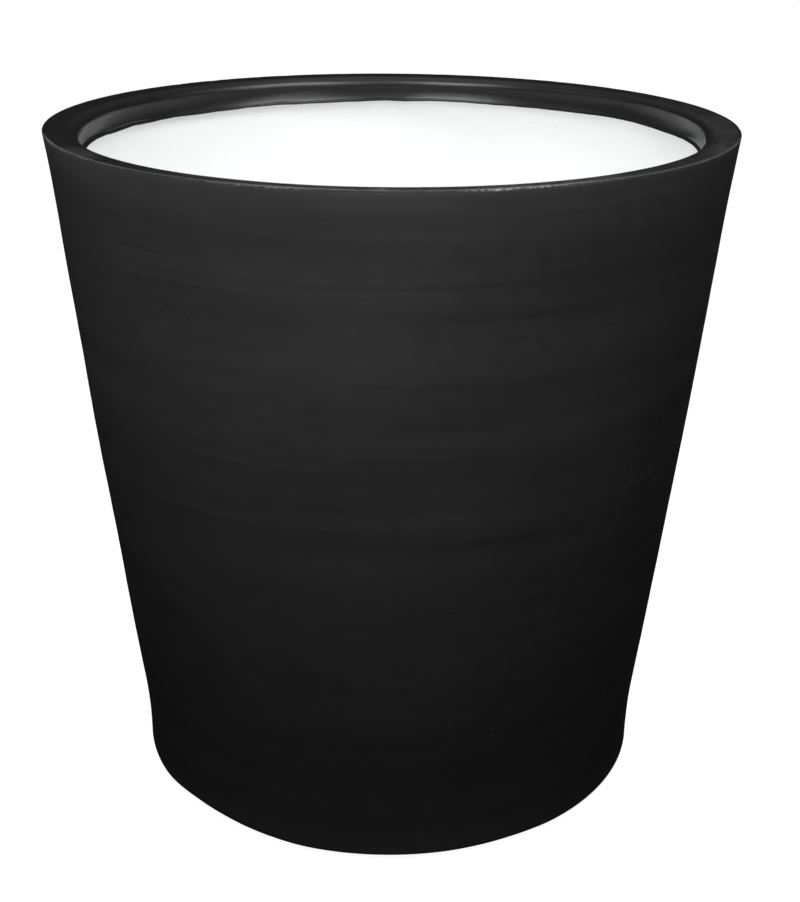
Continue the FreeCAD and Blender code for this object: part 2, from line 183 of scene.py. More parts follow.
def knots(seed, segs, gap_deg, height, soften):
    """An uneven hand-cut line round the turn: straight runs between random points, slightly softened. One value per column."""
    g = np.random.default_rng(seed)
    at = [0.0]
    while at[-1] < 360 - gap_deg[0]:
        at.append(at[-1] + g.uniform(*gap_deg))
    at = np.array(at[:-1] if 360 - at[-1] < gap_deg[0] else at)
    h = g.normal(0, 1, len(at)) * height
    return through(list(zip(at, h)), segs, soften)


def through(points, segs, soften):
    """A line round the turn through given points (degrees, value), slightly softened. One value per column."""
    at, h = np.array(points, float).T
    line = np.interp(np.arange(segs) * 360.0 / segs, at, h, period=360.0)
    n = max(1, int(round(soften * segs / 360.0)))
    kernel = np.hanning(2 * n + 1)
    kernel /= kernel.sum()
    return np.convolve(np.concatenate([line[-n:], line, line[:n]]), kernel, "valid")


# ------------------------------------------------------------------ outer shell
SEGS = 480
heel, foot, flare = 238.16, (242.63, UP + 81.0), (290.91, UP + 522.0)
o = Outline(13.25, UP + 8.0)
o.line(39.0, UP + 8.0, 6, 0.3).line(41.0, UP + 9.0, 1, 0.3).line(43.0, UP + 11.0, 2, 0.3).line(45.0, UP + 12.0, 1, 0.3)
o.line(157.0, UP + 12.0, 9, 0.4)
o.arc(160.6, UP + 10.9, 4.5, -1, 0.9, 0.4).line(166.2, UP + 2.2, 3, 0.4).arc(169.4, UP, 3.4, +1, 0.7, 0.4)
o.line(heel - 4.5, UP, 4, 0.5)
o.arc(heel, UP + 4.5, 4.5, +1, 0.7)
o.arc(foot[0], foot[1], 598.0, -1, 5.0)
o.arc(flare[0], flare[1], 16628.0, +1, 7.0)
o.arc(299.35, TOP - 4.8, 1941.9, -1, 6.0)
edge_from = len(o.pts) - 1
o.line(299.84, TOP - 0.9, 0.8).arc(299.3, TOP - 0.24, 0.62, +1, 0.2)
edge_to = len(o.pts) - 1
o.line(298.2, TOP - 0.2, 0.4).line(297.75, TOP - 0.36, 0.3).line(297.6, TOP - 0.9, 0.3)
o.line(297.6, TOP - 6.0, 3, 0.1).line(294.2, TOP - 6.0, 3, 0.1)
o.arc(flare[0] - 5.0, flare[1], 1941.9, +1, 40, 0.05).arc(foot[0] - 5.0, foot[1], 16628.0, -1, 70, 0.05)
o.arc(heel - 5.0 + 0.63, UP + 32.0, 598.0, +1, 30, 0.05).arc(heel - 18.37, UP + 18.0, 14.0, -1, 5, 0.05)
o.line(44.0, UP + 18.0, 60, 0.05).line(40.0, UP + 14.0, 9, 0.05).line(13.25, UP + 14.0, 30, 0.05).line(13.25, UP + 8.0, 6, 0.05)

g = np.random.default_rng(41)
soft_wall = Ripple(3, 26, (2, 15), (4.0, 42.0))
fine_wall = Ripple(4, 40, (9, 60), (20.0, 160.0))
# small chips along the top edge: place, width and depth of each, and a light ragged wear everywhere
deg = np.arange(SEGS) * 360.0 / SEGS
ragged = np.abs(g.normal(0, 1, 540))[:SEGS]
ragged = (ragged + np.roll(ragged, 1) + np.roll(ragged, -1)) / 3
chip = np.zeros(SEGS)
for c, w, h in zip(g.uniform(0, 360, 40), g.uniform(0.35, 0.9, 40), g.uniform(0.2, 0.95, 40) ** 1.8):
    away = np.abs((deg - c + 180) % 360 - 180)
    chip = np.maximum(chip, h * np.clip(1.25 - away / w, 0, 1))
# how far the edge is rubbed through, by angle: most at the right of the front, hardly at the sides and the back
RUB = ((0, 0.0), (40, 0.02), (75, 0.01), (110, 0.04), (150, 0.02), (185, 0.0), (199, 0.005), (205, 0.025), (212, 0.010), (222, 0.06), (232, 0.035))
RUB += ((240, 0.04), (250, 0.12), (258, 0.09), (264, 0.02), (271, 0.0), (275, 0.06), (279, 0.13), (284, 0.36), (291, 0.46), (295, 0.15), (299, 0.03))
RUB += ((305, 0.005), (320, 0.005), (336, 0.03), (345, 0.0))
rub = through(RUB, SEGS, 1.2) * np.clip(1.0 + knots(17, SEGS, (2, 7), 0.22, 0.8), 0.4, 1.5)
edge_wear = np.clip(rub * (0.55 + 0.58 * ragged) + 0.42 * chip * np.clip(0.6 + 2.0 * rub, 0.6, 1.0), 0, 1)
# a broader scuffed band below the edge
SCUFF = ((0, 0.02), (90, 0.04), (180, 0.0), (199, 0.02), (204, 0.45), (208, 0.14), (216, 0.04), (240, 0.03), (262, 0.04), (290, 0.08), (298, 0.10), (306, 0.04), (320, 0.07), (331, 0.06), (342, 0.03))
scuff = through(SCUFF, SEGS, 1.5) * np.clip(1.0 + knots(19, SEGS, (1.5, 5), 0.35, 0.7), 0.2, 1.8)
# the rounding of the heel: fuller where the foot is rubbed, at the left of the front
HEEL = ((208, 0.0), (211, 0.9), (217, 4.6), (222, 7.0), (227, 7.0), (231, 6.6), (236, 5.2), (241, 3.6), (245, 2.4), (250, 0.5), (255, 0.0), (282, 0.3), (291, 1.4), (297, 2.0), (303, 1.3), (308, 0.0))
rounder = through(HEEL, SEGS, 2.0)

rows = len(o.pts) - 1
near_edge = np.zeros(rows)
near_edge[edge_from : edge_to + 4] = 1.0


def shell_shift(theta, r, z):
    out = smoothstep(z, UP + 2.0, UP + 40.0) * (r > 232.0) * smoothstep(-z, -TOP + 2.0, -TOP + 26.0)
    dr = out[:, None] * (0.20 * soft_wall(theta, z) + 0.035 * fine_wall(theta, z))
    corner = near_edge * smoothstep(z, TOP - 1.8, TOP - 0.7)
    dr = dr - corner[:, None] * (0.05 * ragged + 0.5 * chip)[None, :]
    dz = -corner[:, None] * (0.04 * ragged + 0.4 * chip)[None, :]
    # the heel's arc grows, and the standing ring and the wall beside it give way
    on_arc = (r > heel - 4.51) & (z < UP + 4.51)
    cos_b = np.clip((r - (heel - 4.5)) / 4.5, 0.0, 1.0)
    sin_b = np.clip((z - (UP + 4.5)) / 4.5, -1.0, 0.0)
    land = np.clip(1.0 - (heel - 4.5 - r) / 12.0, 0.0, 1.0) * (z < UP + 0.01) * (r < heel - 4.49)
    wall = np.clip(1.0 - (z - UP - 4.5) / 26.0, 0.0, 1.0) * (z > UP + 4.5) * (r > heel - 0.1)
    dr = dr + np.where(on_arc, cos_b - 1.0, -land)[:, None] * rounder[None, :] + 0.02 * wall[:, None] * rounder[None, :]
    dz = dz + np.where(on_arc, 1.0 + sin_b, wall)[:, None] * rounder[None, :]
    return dr, dz


pz = np.array(o.pts)[:rows, 1]
pr = np.array(o.pts)[:rows, 0]
wear = (near_edge * smoothstep(pz, TOP - 1.7, TOP - 0.8))[:, None] * edge_wear[None, :]
band = (near_edge * smoothstep(pz, TOP - 4.2, TOP - 1.4))[:, None] * scuff[None, :]
shell = turned("shell_wall", o, SEGS, shell_shift, marks={"wear": wear, "scuff": band})
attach(shell, "pot")
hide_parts("outer_shell")

# ------------------------------------------------------------------ rim ring
o = Outline(297.6, TOP - 6.0)
o.line(297.6, TOP - 0.75, 3, 0.2).arc(297.0, TOP - 0.12, 0.62, +1, 0.25).line(296.0, TOP, 0.6)
o.line(277.6, TOP, 1.6).arc(270.0, TOP - 7.5, 7.56, +1, 0.55)
HOLLOW, FACE, HEM = 1.6, 9.5, 21.0  # the lip's face is hollowed by this much between these two depths
o.line(270.0, TOP - FACE, 0.7)
for k in range(1, 15):
    o.line(270.0 - HOLLOW * (k / 14.0) ** 2, TOP - FACE - (HEM - FACE) * k / 14.0)
o.arc(266.6, TOP - 22.5, 2.9, -1, 0.4).arc(266.0, TOP - 23.0, 0.55, +1, 0.25)
o.arc(266.6, TOP - 23.5, 0.55, +1, 0.25)
o.line(273.5, TOP - 23.5, 2, 0.3).arc(275.5, TOP - 21.5, 2.0, +1, 0.8, 0.3)
o.line(275.5, TOP - 11.0, 3, 0.2).arc(280.5, TOP - 6.0, 5.0, -1, 1.4, 0.2)
o.line(297.6, TOP - 6.0, 5, 0.1)

RIM = 720
# the lip's lower edge is trimmed by hand: its height against the drawing, by angle
CUT = ((1, 1.55), (10, 1.15), (16, 0.35), (21, 0.25), (25.5, 0.7), (30, 1.1), (34, 1.1), (37, 1.0), (41, 0.65), (44, 0.3), (47.5, -0.1))
CUT += ((54, -0.4), (60, -0.65), (66, -0.75), (71, -0.5), (74, 0.0), (79, 0.2), (82, 0.1), (84.7, -0.55), (87.5, -0.8), (90, -0.55))
CUT += ((91.5, -0.1), (93, -0.4), (95.6, -0.8), (98, -1.2), (101, -1.3), (104, -1.55), (106.5, -1.8), (112, -1.95), (115, -1.55))
CUT += ((121, -1.6), (123.6, -1.85), (126.6, -2.6), (130, -2.8), (131.5, -2.6), (136, -2.95), (139.4, -2.5), (143, -2.05), (147, -2.05))
CUT += ((150.4, -2.4), (154.5, -2.05), (156.5, -1.3), (159, -1.9), (164, -2.35), (167, -1.7), (170, -1.1), (174, -0.5), (178, -0.2))
CUT += ((188, 0.3), (202, -0.5), (217, 0.4), (229, -0.3), (243, 0.6), (256, -0.2), (268, 0.3), (283, -0.6), (296, 0.2), (309, -0.4))
CUT += ((322, 0.5), (335, 0.0), (347, 0.9))
lip_cut = through(CUT, RIM, 0.9) + knots(29, RIM, (1.2, 3.5), 0.09, 0.5)
# the rounding above it is tighter at the right and fuller at the front, and the face is hollower at the back
WIDE = ((0, -2.2), (25, -2.2), (45, -1.0), (70, 1.6), (92, 2.4), (118, 2.4), (140, 1.4), (158, 1.0), (172, 1.2), (185, 4.0), (205, 10.0))
WIDE += ((240, 13.0), (300, 13.0), (335, 9.0), (350, 1.5))
DEEP = ((0, -2.2), (25, -2.2), (45, -1.0), (70, 1.4), (92, 2.0), (118, 2.0), (140, 1.4), (158, 1.0), (172, 1.0), (185, 2.2), (205, 4.0))
DEEP += ((240, 5.0), (300, 5.0), (335, 3.6), (350, 0.8))
more_wide = through(WIDE, RIM, 7.0)
more_deep = through(DEEP, RIM, 7.0)
HOLLOWS = ((0, 1.4), (14, 1.5), (30, 1.7), (55, 2.2), (90, 2.4), (122, 2.4), (140, 1.95), (155, 1.7), (170, 1.55), (190, 1.4), (230, 1.6), (310, 1.6))
more_hollow = through(HOLLOWS, RIM, 6.0) - HOLLOW
bead_in = knots(31, RIM, (4, 11), 0.22, 1.0)
rim_soft = Ripple(7, 24, (3, 26), (20.0, 120.0))
rim_fine = Ripple(8, 36, (20, 90), (60.0, 300.0))
top_soft = Ripple(9, 18, (2, 14), (20.0, 80.0))


def rim_shift(theta, r, z):
    inside = smoothstep(-r, -289.0, -281.0) * (z > TOP - 23.6) * (r < 289.0)
    inside = inside * smoothstep(-np.where(z < TOP - 22.9, r, 0.0), -272.0, -268.0)
    foot_of_lip = smoothstep(-z, -(TOP - 11.0), -(TOP - 20.0)) * (r < 276.0)
    dr = inside[:, None] * (0.12 * rim_soft(theta, z * 3.0) + 0.004 * rim_fine(theta, z * 3.0))
    dr = dr + (foot_of_lip * (r < 268.5))[:, None] * np.clip(bead_in, -0.3, 0.5)[None, :]
    dz = foot_of_lip[:, None] * lip_cut[None, :]
    # rounding: the nose grows or shrinks, the flat top and the face give way
    nose = (r < 277.7) & (z > TOP - 7.55) & ~((z < TOP - 5.9) & (r > 274.0))
    sin_b = np.clip(1.0 - (TOP - z) / 7.5, 0.0, 1.0)
    flat_by = np.clip((296.2 - r) / (296.2 - 277.6), 0.0, 1.0) * (z > TOP - 0.2) * (r > 277.6)
    face = (r < 271.5) & (z <= TOP - 7.55)
    by_r = np.where(nose, 1.0 - np.sqrt(1.0 - sin_b**2), flat_by)
    by_z = np.where(nose, -(1.0 - sin_b), np.where(face, -np.clip((z - (TOP - 20.0)) / 12.5, 0.0, 1.0), 0.0))
    dr = dr + by_r[:, None] * more_wide[None, :]
    dz = dz + by_z[:, None] * more_deep[None, :]
    depth = np.clip((TOP - FACE - z) / (HEM - FACE), 0.0, 1.0) ** 2 * np.clip((z - (TOP - 22.6)) / 1.6, 0.0, 1.0) * (r < 271.5)
    dr = dr - depth[:, None] * more_hollow[None, :]
    flat = smoothstep(r, 276.0, 284.0) * smoothstep(-r, -296.5, -291.0) * (z > TOP - 3.0)
    dz = dz - flat[:, None] * np.abs(0.07 * top_soft(theta, r * 2.0))
    return dr, np.minimum(dz, np.where(z > TOP - 1.0, 0.0, 9.0)[:, None])


# a second worn line where the rim's outer edge meets the shell, clearest at the left
SEAM = ((0, 0.01), (90, 0.05), (180, 0.0), (191, 0.01), (199, 0.05), (206, 0.12), (214, 0.08), (224, 0.2), (236, 0.08), (270, 0.02), (285, 0.25), (300, 0.08), (318, 0.06), (336, 0.08), (348, 0.02))
seam_wear = np.clip(through(SEAM, RIM, 1.5) * (0.8 + knots(37, RIM, (1.5, 5), 0.55, 0.6)), 0, 1)
# dust and rub marks on the flat of the rim, most at the front
DUST = ((0, 0.2), (15, 0.14), (40, 0.05), (90, 0.0), (180, 0.0), (208, 0.0), (213, 0.28), (218, 0.3), (221, 0.0), (240, 0.14), (250, 0.28), (258, 0.30), (264, 0.44))
DUST += ((275, 0.44), (280, 0.36), (285, 0.5), (292, 0.4), (299, 0.46), (305, 0.3), (312, 0.12), (325, 0.12), (331, 0.22), (338, 0.18))
dusty = through(DUST, RIM, 2.0) * np.clip(1.0 + knots(43, RIM, (2, 6), 0.18, 0.8), 0.4, 1.5)
rr, rz = np.array(o.pts)[:-1].T
seam = smoothstep(rr, 296.4, 297.1) * smoothstep(rz, TOP - 1.2, TOP - 0.5)

top_land = smoothstep(rz, TOP - 3.0, TOP - 0.9) * smoothstep(rr, 272.0, 279.0)
rim = turned("rim_and_lip", o, RIM, rim_shift, marks={"wear": seam[:, None] * seam_wear[None, :], "dust": top_land[:, None] * dusty[None, :]})
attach(rim, "pot")
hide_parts("rim_ring")

# ------------------------------------------------------------------ white liner
o = Outline(13.25, UP + 14.0)
o.line(40.0, UP + 14.0, 30, 0.1).line(44.0, UP + 18.0, 9, 0.1).line(heel - 18.37, UP + 18.0, 60, 0.1)
o.arc(heel - 4.37, UP + 32.0, 14.0, +1, 5, 0.1).arc(foot[0] - 5.0, foot[1], 598.0, -1, 30, 0.1)
o.arc(flare[0] - 5.0, flare[1], 16628.0, +1, 70, 0.1).arc(294.19, TOP - 6.0, 1941.9, -1, 40, 0.1)
o.line(291.69, TOP - 6.0, 3, 0.2)
o.arc(flare[0] - 7.5, flare[1], 1941.9, +1, 6).arc(foot[0] - 7.5, foot[1], 16628.0, -1, 9)
o.arc(231.52, UP + 36.5, 598.0, +1, 7).arc(215.52, UP + 20.5, 16.0, -1, 1.8)
o.line(46.0, UP + 20.5, 7).arc(43.2, UP + 19.7, 3.0, +1, 0.8).line(41.2, UP + 17.7, 1).arc(38.6, UP + 16.5, 3.4, -1, 0.8)
o.line(13.25, UP + 16.5, 4).line(13.25, UP + 14.0, 2, 0.2)
liner_soft = Ripple(11, 30, (2, 18), (5.0, 60.0))
liner_fine = Ripple(12, 50, (12, 80), (40.0, 300.0))


def liner_shift(theta, r, z):
    rows_n = len(r)
    inner = np.zeros(rows_n)
    first_in = int(np.argmax(z > TOP - 6.5)) + 1
    inner[first_in + 2 :] = 1.0
    wall = inner * smoothstep(z, UP + 24.0, UP + 60.0)
    dr = -wall[:, None] * np.clip(0.45 + 0.33 * liner_soft(theta, z) + 0.07 * liner_fine(theta, z), 0.0, 1.6)
    floor = inner * (z < UP + 21.0) * smoothstep(r, 50.0, 75.0) * smoothstep(-r, -212.0, -190.0)
    dz = floor[:, None] * np.clip(0.3 + 0.25 * liner_soft(theta, r * 1.7) + 0.05 * liner_fine(theta, r), 0.0, 1.2)
    return dr, dz


liner = turned("liner_skin", o, 400, liner_shift)
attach(liner, "pot")
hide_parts("inner_liner")

# ------------------------------------------------------------------ drain outlet
DISH, DECK, UNDER = UP + 16.5, UP + 21.0, UP + 8.0
o = Outline(10.0, 3.7)
o.line(12.4, 3.7, 1).line(13.0, 4.3, 0.5).line(13.0, DECK - 2.5, 2)
o.line(26.4, DECK - 2.5, 3).arc(27.0, DECK - 1.9, 0.6, +1, 0.25).line(27.0, DECK - 1.0, 0.5).arc(26.0, DECK, 1.0, +1, 0.3)
o.line(22.6, DECK, 0.8).arc(21.9, DECK - 0.3, 0.9, +1, 0.3).arc(21.2, DECK - 0.6, 0.9, -1, 0.3)
o.line(17.4, DECK - 0.6, 0.9).arc(16.7, DECK - 0.3, 0.9, -1, 0.3).arc(16.0, DECK, 0.9, +1, 0.3)
o.line(11.4, DECK, 0.9).arc(10.4, DECK - 0.45, 1.2, +1, 0.3).line(10.0, DECK - 1.2, 0.4).line(10.0, 3.7, 2.5)
bush = turned("outlet_flange", o, 144)
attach(bush, "pot")
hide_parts("drain_bush")


def ring_outline(r0, r1, z0, z1, e, bulge=0.0):
    """Flat ring with rounded edges; bulge swells the outer edge."""
    o = Outline(r0, z0 + e)
    o.arc(r0 + e, z0, e, +1, 0.15).line(r1 - e, z0, 1.2).arc(r1, z0 + e, e, +1, 0.15)
    if bulge:
        h = (z1 - z0 - 2 * e) / 2
        o.arc(r1, z1 - e, (bulge * bulge + h * h) / (2 * bulge), +1, 0.2)
    else:
        o.line(r1, z1 - e, 0.5)
    o.arc(r1 - e, z1, e, +1, 0.15).line(r0 + e, z1, 1.2).arc(r0, z1 - e, e, +1, 0.15).line(r0, z0 + e, 0.5)
    return o


seal = turned("outlet_seal", ring_outline(13.2, 24.8, DISH, DISH + 2.0, 0.35, 0.25), 144)
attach(seal, "pot")
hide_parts("drain_seal")
slip = turned("slip_washer", ring_outline(13.2, 24.0, UNDER - 1.5, UNDER, 0.3), 144)
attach(slip, "pot")
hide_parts("backnut_washer")

# ------------------------------------------------------------------ drain plug: a moulded head and body with a pull tab
o = Outline(0.0, DECK - 16.5)
o.line(6.4, DECK - 16.5, 2).arc(8.55, DECK - 14.6, 2.2, +1, 0.4).line(9.65, DECK - 0.3, 2).line(9.9, DECK + 0.02, 0.3)
o.line(13.4, DECK + 0.02, 1).arc(14.0, DECK + 0.6, 0.6, +1, 0.25).line(14.0, DECK + 2.2, 0.8)
o.arc(12.7, DECK + 3.5, 1.3, +1, 0.3).line(0.0, DECK + 3.5, 1.5)
plug = turned("plug_body", o, 96, closed=False)
bm = bmesh.new()
outer, inner, foot_z, mid_z = 8.0, 3.5, DECK + 2.4, DECK + 11.5
arc = [(outer * math.cos(a), mid_z + outer * math.sin(a)) for a in np.linspace(0, math.pi, 33)]
rim_pts = [(outer, foot_z)] + arc + [(-outer, foot_z)]
n_hole = len(rim_pts)
# the hole's points are spread so that each faces its neighbour on the outside
ang = [math.atan2(zz - mid_z, xx) for xx, zz in rim_pts]
hole_pts = [(inner * math.cos(a), mid_z + inner * math.sin(a)) for a in ang]
layers = []
for y in (-2.0, 2.0):
    layers.append(
        (
            [bm.verts.new((x * MM, y * MM, zz * MM)) for x, zz in rim_pts],
            [bm.verts.new((x * MM, y * MM, zz * MM)) for x, zz in hole_pts],
        )
    )
for k in range(n_hole):
    m = (k + 1) % n_hole
    (fo, fi), (bo, bi) = layers
    bm.faces.new((fo[k], fo[m], fi[m], fi[k]))
    bm.faces.new((bo[m], bo[k], bi[k], bi[m]))
    bm.faces.new((fo[m], fo[k], bo[k], bo[m]))
    bm.faces.new((fi[k], fi[m], bi[m], bi[k]))
bmesh.ops.recalc_face_normals(bm, faces=bm.faces)
tab_mesh = bpy.data.meshes.new("plug_tab")
bm.to_mesh(tab_mesh)
bm.free()
bm = bmesh.new()
bm.from_mesh(plug.data)
bm.from_mesh(tab_mesh)
for layer in list(bm.loops.layers.uv):
    bm.loops.layers.uv.remove(layer)
bm.to_mesh(plug.data)
bm.free()
bpy.data.meshes.remove(tab_mesh)
# one skin over both, with the soft inside corners of a moulding
bpy.context.view_layer.objects.active = plug
m = plug.modifiers.new("skin", "REMESH")
m.mode = "VOXEL"
m.voxel_size = 0.00036
m.use_smooth_shade = True
m = plug.modifiers.new("soften", "SMOOTH")
m.factor = 0.5
m.iterations = 7
bpy.context.view_layer.update()
done = bpy.data.meshes.new_from_object(plug.evaluated_get(bpy.context.evaluated_depsgraph_get()))
plug.modifiers.clear()
plug.data = done
plug.name = "plug_moulding"
done.polygons.foreach_set("use_smooth", [True] * len(done.polygons))
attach(plug, "drain_plug")
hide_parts("drain_plug")

# ------------------------------------------------------------------ foot pads: rubber discs with grip rings underneath
o = Outline(0.0, 0.55)
o.line(3.0, 0.55, 1.0).arc(4.0, 0.0, 1.0, -1, 0.3)
for k in range(3):
    r0 = 4.0 + k * 4.9
    o.line(r0 + 2.9, 0.0, 0.8).arc(r0 + 3.5, 0.55, 0.7, +1, 0.25).line(r0 + 4.2, 0.55, 0.4).arc(r0 + 4.9, 0.0, 0.7, +1, 0.25)
o.line(18.75, 0.0, 0.3).arc(20.0, 1.25, 1.25, +1, 0.3).line(20.0, 6.0, 1.2).arc(19.3, 6.7, 0.7, +1, 0.3)
o.line(18.6, 6.95, 0.5).line(0.0, 6.95, 4)
pads = []
for k in range(6):
    a = math.radians(60 * k)
    pad = turned("pad_%d" % (k + 1), o, 72, closed=False)
    pad.data.transform(Matrix.Translation((0.199 * math.cos(a), 0.199 * math.sin(a), 0.0)) @ Matrix.Rotation(a, 4, "Z"))
    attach(pad, "pot")
    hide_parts("foot_pad_%d" % (k + 1))
    pads.append(pad)


# ------------------------------------------------------------------ materials
class Mat:
    """A small helper for building one node material on object coordinates, which are metres in the part's frame."""

    def __init__(self, name):
        self.m = bpy.data.materials.new(name)
        self.m.use_nodes = True
        self.t = self.m.node_tree
        self.t.nodes.clear()
        self.out = self.t.nodes.new("ShaderNodeOutputMaterial")
        self.b = self.t.nodes.new("ShaderNodeBsdfPrincipled")
        self.t.links.new(self.b.outputs[0], self.out.inputs[0])
        self.p = self.t.nodes.new("ShaderNodeTexCoord").outputs["Object"]
        self.xyz = None

    def n(self, kind, **props):
        node = self.t.nodes.new(kind)
        for k, val in props.items():
            setattr(node, k, val)
        return node

    def put(self, socket, value):
        if isinstance(value, bpy.types.NodeSocket):
            self.t.links.new(value, socket)
        else:
            socket.default_value = value

    def math(self, op, a, b=0.0, c=0.0, clamp=False):
        node = self.n("ShaderNodeMath", operation=op, use_clamp=clamp)
        for s, val in zip(node.inputs, (a, b, c)):
            self.put(s, val)
        return node.outputs[0]

    def split(self):
        if self.xyz is None:
            node = self.n("ShaderNodeSeparateXYZ")
            self.put(node.inputs[0], self.p)
            self.xyz = node.outputs
        return self.xyz

    def scaled(self, x, y, z, off=(0, 0, 0)):
        node = self.n("ShaderNodeMapping")
        self.put(node.inputs["Vector"], self.p)
        node.inputs["Scale"].default_value = (x, y, z)
        node.inputs["Location"].default_value = off
        return node.outputs[0]

    def round_about(self, low, high, off=0.0):
        """Coordinates that run slowly round the axis and quickly across it, on upright and on level faces alike."""
        x, y, z = self.split()
        flat = self.n("ShaderNodeCombineXYZ")
        self.put(flat.inputs[0], x)
        self.put(flat.inputs[1], y)
        r = self.n("ShaderNodeVectorMath", operation="LENGTH")
        self.put(r.inputs[0], flat.outputs[0])
        across = self.math("ADD", z, r.outputs["Value"])
        node = self.n("ShaderNodeCombineXYZ")
        self.put(node.inputs[0], self.math("MULTIPLY", x, low))
        self.put(node.inputs[1], self.math("MULTIPLY", y, low))
        self.put(node.inputs[2], self.math("MULTIPLY_ADD", across, high, off))
        return node.outputs[0]

    def noise(self, vector, scale, detail=3.0, rough=0.5, warp=0.0):
        node = self.n("ShaderNodeTexNoise")
        self.put(node.inputs["Vector"], vector)
        node.inputs["Scale"].default_value = scale
        node.inputs["Detail"].default_value = detail
        node.inputs["Roughness"].default_value = rough
        node.inputs["Distortion"].default_value = warp
        return node.outputs["Fac"]

    def span(self, value, a, b, lo=0.0, hi=1.0, smooth=True):
        node = self.n("ShaderNodeMapRange", interpolation_type="SMOOTHSTEP" if smooth else "LINEAR")
        for s, val in zip(("Value", "From Min", "From Max", "To Min", "To Max"), (value, a, b, lo, hi)):
            self.put(node.inputs[s], val)
        return node.outputs[0]

    def mix(self, fac, a, b):
        node = self.n("ShaderNodeMix", data_type="RGBA")
        self.put(node.inputs["Factor"], fac)
        for s, val in (("A", a), ("B", b)):
            socket = [i for i in node.inputs if i.name == s and i.type == "RGBA"][0]
            self.put(socket, val if isinstance(val, bpy.types.NodeSocket) else (*val, 1.0))
        return [q for q in node.outputs if q.type == "RGBA"][0]

    def specks(self, scale, size, share, off=(0, 0, 0)):
        """Scattered small dots: 1 inside a dot. share is how many of the cells have one."""
        v = self.n("ShaderNodeTexVoronoi", feature="F1")
        self.put(v.inputs["Vector"], self.scaled(1, 1, 1, off))
        v.inputs["Scale"].default_value = scale
        dot = self.span(v.outputs["Distance"], size * 0.55, size, 1.0, 0.0)
        cell = self.n("ShaderNodeSeparateColor")
        self.put(cell.inputs[0], v.outputs["Color"])
        keep = self.math("LESS_THAN", cell.outputs[0], share)
        weak = self.span(cell.outputs[1], 0.0, 1.0, 0.25, 1.0)
        return self.math("MULTIPLY", self.math("MULTIPLY", dot, keep), weak)

    def scratches(self, scale, width, gate_scale, gate, off=(0, 0, 0)):
        """Short thin marks: the borders of stretched cells, shown only where a second pattern lets them through."""
        v = self.n("ShaderNodeTexVoronoi", feature="DISTANCE_TO_EDGE")
        self.put(v.inputs["Vector"], self.scaled(1.0, 1.0, 0.45, off))
        v.inputs["Scale"].default_value = scale
        line = self.span(v.outputs["Distance"], 0.0, width, 1.0, 0.0)
        where = self.span(self.noise(self.scaled(1, 1, 1, (off[0] + 3.1, off[1], off[2])), gate_scale, 2.0), gate, gate + 0.06)
        return self.math("MULTIPLY", line, where)

    def signed(self, value, low=0.30, high=0.70):
        """A noise value as -1 to 1."""
        return self.span(value, low, high, -1.0, 1.0, smooth=False)

    def grey(self, value, blue=1.006):
        node = self.n("ShaderNodeCombineColor")
        self.put(node.inputs[0], value)
        self.put(node.inputs[1], value)
        self.put(node.inputs[2], self.math("MULTIPLY", value, blue))
        return node.outputs[0]

    def stroke(self, a, b, width):
        """1 along the straight mark from a to b, fading out at width."""
        a, d = Vector(a), Vector(b) - Vector(a)
        rel = self.n("ShaderNodeVectorMath", operation="SUBTRACT")
        self.put(rel.inputs[0], self.p)
        rel.inputs[1].default_value = a
        dot = self.n("ShaderNodeVectorMath", operation="DOT_PRODUCT")
        self.put(dot.inputs[0], rel.outputs[0])
        dot.inputs[1].default_value = d / d.length_squared
        along = self.math("ADD", dot.outputs["Value"], 0.0, clamp=True)
        near = self.n("ShaderNodeVectorMath", operation="SCALE")
        near.inputs[0].default_value = d
        self.put(near.inputs["Scale"], along)
        away = self.n("ShaderNodeVectorMath", operation="DISTANCE")
        self.put(away.inputs[0], rel.outputs[0])
        self.put(away.inputs[1], near.outputs[0])
        return self.span(away.outputs["Value"], width * 0.3, width, 1.0, 0.0)

    def bump(self, parts):
        """parts: (height, distance in metres, strength), chained."""
        last = None
        for h, dist, strength in parts:
            node = self.n("ShaderNodeBump")
            self.put(node.inputs["Height"], h)
            node.inputs["Distance"].default_value = dist
            node.inputs["Strength"].default_value = strength
            if last is not None:
                self.put(node.inputs["Normal"], last)
            last = node.outputs[0]
        self.put(self.b.inputs["Normal"], last)

    def set(self, name, value):
        self.put(self.b.inputs[name], value)

    def on(self, *obs):
        for ob in obs:
            ob.data.materials.clear()
            ob.data.materials.append(self.m)


# black gelcoat on the shell: deep satin black, clouded and streaked; its colour also carries painted light and shade:
# darker towards the bottom and lighter towards the top, a painted floor reflection round the foot, and painted shade on
# the edge's flat top
m = Mat("gelcoat_black")
x, y, z = m.split()
cloud = m.noise(m.p, 6.5, 4.0, 0.55, 0.3)
streak = m.noise(m.round_about(2.6, 52.0), 1.0, 4.0, 0.6)
wisp = m.noise(m.round_about(4.5, 210.0, 3.7), 1.0, 3.0, 0.55)
mottle = m.noise(m.p, 85.0, 5.0, 0.6)
grain = m.noise(m.p, 620.0, 3.0, 0.6)
uneven = m.math("MULTIPLY_ADD", m.signed(streak), 0.09, 1.0)
uneven = m.math("MULTIPLY_ADD", m.signed(wisp), 0.070, uneven)
uneven = m.math("MULTIPLY_ADD", m.signed(cloud), 0.060, uneven)
uneven = m.math("MULTIPLY_ADD", m.signed(mottle), 0.030, uneven)
